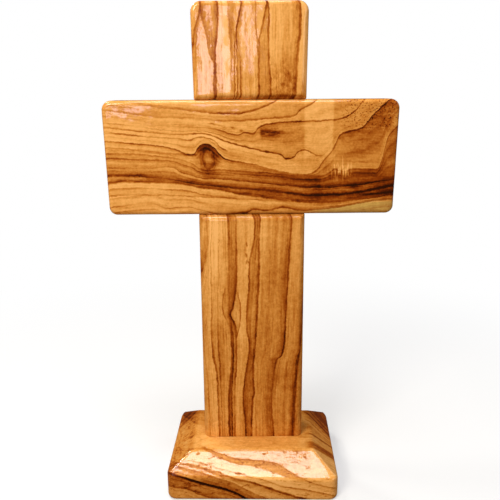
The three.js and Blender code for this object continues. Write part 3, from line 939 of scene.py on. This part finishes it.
BASE_LINES = [
    ([(-37, 6.9), (-26.8, 5.6), (-23.1, 3.5), (-17.6, 1.7), (-10, -1), (0, -4.5), (37, -13)],
     1.2, 0.22, 0.1, 1.5),
    ([(-37, 13), (-34, 12.5), (-26.4, 10.2), (-20.2, 8.1), (-14.2, 6.4), (-8.7, 4.6), (-3.8, 1.8), (2, -1.5),
      (37, -12)],
     1, 0.6, 0.06, -2, [(-37, 0.4), (-29, 0.7), (-24, 1.2), (-2, 1.2), (37, 1)]),
    ([(-37, 16.2), (-32, 15.4), (-28, 14.4), (-21.2, 12.8), (-16, 11.2), (-8.6, 8.7), (-1.1, 4.6), (6, 1),
      (37, -8)],
     0.9, 0.24, 0.12, -2, [(-37, 0.5), (-22, 0.6), (-12, 1), (37, 1)]),
    ([(-37, 17.6), (-29, 16.5), (-18.7, 14.1), (-11.4, 12.1), (-6.2, 10.3), (-1, 9.1), (10.3, 4.9),
      (20.4, 1.4), (37, -4)],
     1.1, 0.3, 0.1, -1.6, [(-37, 0.5), (-14, 0.7), (-6, 1.3), (15, 1.3), (37, 1)]),
    ([(-37, 19.6), (-30, 18.3), (-24.3, 16.9), (-18.3, 15.6), (-13.6, 14.3), (-6, 12.9), (-1.1, 11.6),
      (4.6, 10.1), (13.6, 6.9), (21, 5.7), (37, 2)],
     0.7, 0.26, 0.04, -1, [(-37, 0.6), (-10, 0.6), (4, 0.9), (37, 1)]),
    ([(-37, 24.5), (-20.3, 21.1), (-13.9, 18.4), (-6.8, 16.2), (-0.7, 15.3), (3.9, 14.2), (10, 12.6),
      (14.6, 11.3), (20, 10.2), (37, 5.2)],
     0.5, 0.1, 0.03, 0.8, [(-37, 0), (-24, 0), (-20, 0.8), (14, 1), (20, 0), (37, 0)]),
    ([(-37, 25), (-20.3, 21.9), (-14, 20), (-6.9, 18), (-0.7, 17.6), (7, 16.9), (11.6, 15.5), (15.4, 13.4),
      (20.4, 10.9), (24.4, 9.1), (35.1, 6), (37, 5.6)],
     0.7, 0.18, 0.05, -1.2, [(-37, 0), (-24, 0), (-20, 0.8), (-6, 0.7), (10, 0.5), (18, 1), (37, 1.1)]),
    ([(-37, 30), (0, 27), (37, 24)], 0.6, 0.1, 0.04, 2),
]


def base_flank(x, y, z):
    """The base's right bevel, whose layers drop towards the front: how much it counts, and its darkness."""
    lean = y.follow([(-28, 0.4), (-4, 0.05), (6, -0.8), (28, -1)])
    layer = y - (x - FLAT_X) * lean - (z - 11).smaller(0) * 0.8
    right = (x - FLAT_X - (y - FLAT_Y).larger(0) * 0.93).rise(-4, 0.5)
    share = right.larger(layer.rise(26.5, 29.5)) * (y + z * 0.1).rise(-26, -24.5)
    fine = cloud(vector(layer * 0.9, x * 0.1, 0), 3, 0.6, 7)
    layers = layer.follow([
        (-30, 0.26), (-17, 0.26), (-16, 0.34), (-14.8, 0.66), (-12, 0.7), (-10.6, 0.6), (-9.6, 0.4),
        (-6, 0.44), (-4.8, 0.52), (-4.2, 0.8), (-3.6, 0.5), (-1, 0.46), (2, 0.52), (4, 0.46), (5.8, 0.4),
        (6.4, 0.58), (8, 0.5), (10, 0.56), (12.6, 0.64), (13.4, 0.95), (14.2, 0.7), (16, 0.66), (18, 0.84),
        (19, 0.66), (22, 0.84), (30, 0.72)])
    return share, layers + (fine - 0.5) * 0.5 - 0.06


def base_tone(wood, x, z, flow):
    """Finer rings, and how dark the layers are, from the lowest to the highest."""
    wood.streaks(flow, 0.42)
    wood.darken(wood.rings(flow, 1.6, 0.24, 2) * (z.rise(13, 11.5) * 0.6 + 0.4) * z.rise(17.8, 16.5))
    wood.darken(flow.follow([
        (-10, 0.42), (-1, 0.42), (0, 0.46), (0.8, 0.5), (3.6, 0.53), (4.4, 0.44), (5.4, 0.38), (7, 0.33),
        (8.6, 0.3), (9.6, 0.25), (13, 0.3), (14, 0.26), (15.8, 0.28), (16.6, 0.25), (19.5, 0.25),
        (19.9, 0.31), (21.9, 0.32), (22.4, 0.25), (26, 0.26), (29, 0.34), (44, 0.36)]))
    wood.darken(flow.rise(4.2, 4.6) * flow.rise(9, 5) * x.rise(-28, -17) * 0.26)


def base_marks(wood, x, y, z):
    """Flecks, the waves and small knots of the left bevel, the dark layers of the back left corner, and
    painted shade on the front bevel's left.
    """
    flecks = cloud(vector(x * 0.28, y * 0.6, z * 0.6), 3, 0.6, 3).rise(0.57, 0.63)
    wood.darken(flecks * z.rise(17.9, 17) * 0.2)
    outward = x * -1 - FLAT_X + (y + FLAT_Y).smaller(0) * 0.93 - (y - FLAT_Y).larger(0) * 0.93
    left = outward.rise(-1.2, 0.6)
    waves = (x + 31.4 + y.bump(-9, 3) * 0.8).bump(0, 0.45) + (x + 33.6 + y.bump(-12, 5) * 0.6).bump(0, 0.4)
    wood.darken(left * waves * y.bump(-14, 5) * 0.18)
    ragged = cloud(vector(x * 0.6, y * 0.9, z * 0.6), 3, 0.6, 4)
    knots = x.bump(-28.6, 2) * y.bump(-1.6, 0.9) + x.bump(-29.2, 2.8) * y.bump(-5, 0.9)
    knots = knots * ragged.rise(0.4, 0.56)
    corner = y - (x + 34) * 0.9 - (z - 11).smaller(0) * 0.7
    corner = corner.follow([
        (-30, 0), (8, 0), (10.6, 0.06), (11.6, 0.24), (13.5, 0.12), (16, 0.16), (17, 0.34), (19, 0.18),
        (24, 0.2), (25, 0.36), (28, 0.2), (40, 0.3)])
    # Painted shade: the left of the front bevel is a little darker, which tones down its highlight.
    wood.darken(z.rise(10.5, 12.5) * y.rise(-16.4, -17.4) * x.rise(4, -14) * (1 - left) * 0.035)
    wood.darken(knots * 0.38 + corner * (ragged * 0.8 + 0.6) + left * z.rise(10, 13) * 0.15)


def base_figure(x, y, z):
    """Growth layers that run down to the right and back, with a swirl round a knot on the left bevel."""
    own_x = x * math.cos(BASE_TURN) + y * math.sin(BASE_TURN)
    own_y = y * math.cos(BASE_TURN) - x * math.sin(BASE_TURN)
    x, y = own_x, own_y
    swirl_x, swirl_y = x + 31, y + 10
    swirl = (swirl_x * swirl_x + swirl_y * swirl_y * 0.5).math("SQRT").rise(11, 1)
    climb = z + (y - FRONT_OF_BASE) * 0.36 + swirl * 4
    wood = Board(x, climb, y - FRONT_OF_BASE, (-37, 37), (-14, 42), 0, 4, 0.9)
    wood.draw(BASE_LINES)
    flow = wood.flow()
    base_tone(wood, x, z, flow)
    base_marks(wood, x, y, z)
    flank, flank_darkness = base_flank(x, y, z)
    darkness = wood.darkness * (1 - flank) + flank_darkness * flank
    hip = ((x + 34.8) * 0.733 - (y + 26.2) * 0.681).bump(0, 0.9) * z.rise(10.6, 11.6)
    dull_band = flow.follow([(-10, 0), (19.4, 0), (20, 0.12), (21.8, 0.14), (22.3, 0), (44, 0)])
    return darkness, None, vector(x * 0.12, y * 0.7, wood.across * 1.3), dull_band - hip * 0.4


for piece, figure in ((post, post_figure), (bar, bar_figure), (arm, arm_figure), (base, base_figure)):
    piece.data.materials.clear()
    piece.data.materials.append(lacquered_wood(f"{piece.name}_wood", figure))


# ---- dowels and screws ----

def beech():
    material, tree, shader = new_material("beech")
    x, y, z = place_in_mm(tree)
    flecks = cloud(vector(x * 3, y * 3, z * 0.5), 3, 0.6, 1)
    tones = [(0.3, srgb(226, 196, 152)), (0.7, srgb(196, 154, 104))]
    give_all(shader, {"Base Color": flecks.tint(tones), "Roughness": 0.75 - flecks * 0.2,
                      "Normal": relief(flecks, 0.00005)})
    return material


def zinc():
    material, tree, shader = new_material("zinc_plate")
    bloom = cloud(vector(*place_in_mm(tree)), 4, 0.6, 1, scale=1.6)
    tones = [(0.3, (0.6, 0.61, 0.6)), (0.7, (0.44, 0.46, 0.47))]
    give_all(shader, {"Base Color": bloom.tint(tones), "Metallic": 1, "Roughness": bloom * 0.35 + 0.18,
                      "Normal": relief(bloom, 0.00002)})
    return material


finishes = {"dowel": beech(), "screw": zinc()}
for name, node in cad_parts.items():
    for word, finish in finishes.items():
        if word in name:
            node.data.materials.clear()
            node.data.materials.append(finish)


# ---- camera, floor and lights ----

scene = bpy.context.scene
scene.view_settings.view_transform = "Standard"

camera_data = bpy.data.cameras.new("camera")
camera_data.lens = 44.25
camera_data.clip_start = 0.01
camera = add_to_scene("camera", camera_data, (-0.0017, -0.2516, 0.1668))
camera.rotation_euler = (math.radians(90 - 14.43), math.radians(0.4), math.radians(-0.3))
scene.camera = camera


def softbox(name, location, target, size, radiance, colour):
    """A rectangular light of the given brightness that faces the target."""
    data = bpy.data.lights.new(name, "AREA")
    data.shape = "RECTANGLE"
    data.size, data.size_y = size
    data.energy = radiance * math.pi * size[0] * size[1]
    data.color = colour
    light = add_to_scene(name, data, location)
    light.rotation_euler = (Vector(target) - Vector(location)).to_track_quat("-Z", "Y").to_euler()


WHITE = (1, 0.97, 0.92)
PINK = (0.98, 0.78, 1)
COOL = (0.88, 0.92, 1)
WARM = (1, 0.93, 0.82)
FACE = (0, -0.007, 0.17)
MIDDLE = (0, 0, 0.1)
softbox("overhead", (-0.01, -0.175, 0.74), (0, -0.02, 0.015), (0.3, 0.27), 9.3, COOL)
softbox("lamp", (-0.3, 0.05, 0.72), MIDDLE, (0.13, 0.13), 24, WHITE)
softbox("window_left", (-0.0735, -1, 0.245), FACE, (0.079, 0.2), 6, PINK)
softbox("window_right", (0.005, -1, 0.27), FACE, (0.024, 0.125), 6, PINK)
softbox("window_low", (-0.245, -1, 0.147), FACE, (0.1, 0.022), 7.4, PINK)
softbox("key", (-0.3, -0.5, 0.45), (0, 0, 0.12), (0.26, 0.26), 16.4, WARM)
softbox("glint", (-0.388, 0.334, 0.571), (-0.03, -0.021, 0.015), (0.08, 0.06), 70, WHITE)
softbox("fill", (0.62, -0.62, 0.36), MIDDLE, (0.4, 0.5), 2.4, WARM)
softbox("back", (0.75, 0.45, 0.55), MIDDLE, (0.5, 0.5), 2, WARM)


def mixed(share, first, second):
    """A blend of two shaders."""
    return add_node(share.tree, "MixShader", (share, Num(first.outputs[0]), Num(second.outputs[0])))


def show(seen, unseen, output):
    """Shows one shader to the camera and gives another to reflections and bounced light."""
    tree = seen.id_data
    by_camera = Num(tree.nodes.new("ShaderNodeLightPath").outputs["Is Camera Ray"])
    give(tree.nodes[output].inputs[0], Num(mixed(by_camera, unseen, seen).outputs[0]))


def studio():
    world = bpy.data.worlds.new("studio")
    world.use_nodes = True
    tree = world.node_tree
    white = tree.nodes["Background"]
    give(white.inputs["Color"], (1, 1, 1, 1))
    show(white, add_node(tree, "Background", {"Color": (1, 0.9, 0.76, 1), "Strength": 0.07}), "World Output")
    return world


scene.world = studio()


def floor_finish():
    """A pale floor that glows into the white of the surroundings further out."""
    material, tree, shader = new_material("floor")
    x, y, z = place_in_mm(tree)
    away = (x * x + y * y).math("SQRT").rise(30, 330) * 0.55 + 0.45
    give_all(shader, {"Base Color": (0.9, 0.9, 0.9, 1), "Roughness": 1, "Specular IOR Level": 0})
    glowing = mixed(away, shader, add_node(tree, "Emission", {}))
    brown = add_node(tree, "BsdfDiffuse", {"Color": (0.2, 0.15, 0.1, 1)})
    show(glowing, brown, "Material Output")
    return material


def floor():
    bm = bmesh.new()
    bmesh.ops.create_grid(bm, x_segments=8, y_segments=8, size=6)
    mesh = bpy.data.meshes.new("floor")
    bm.to_mesh(mesh)
    bm.free()
    mesh.materials.append(floor_finish())
    add_to_scene("floor", mesh)


floor()
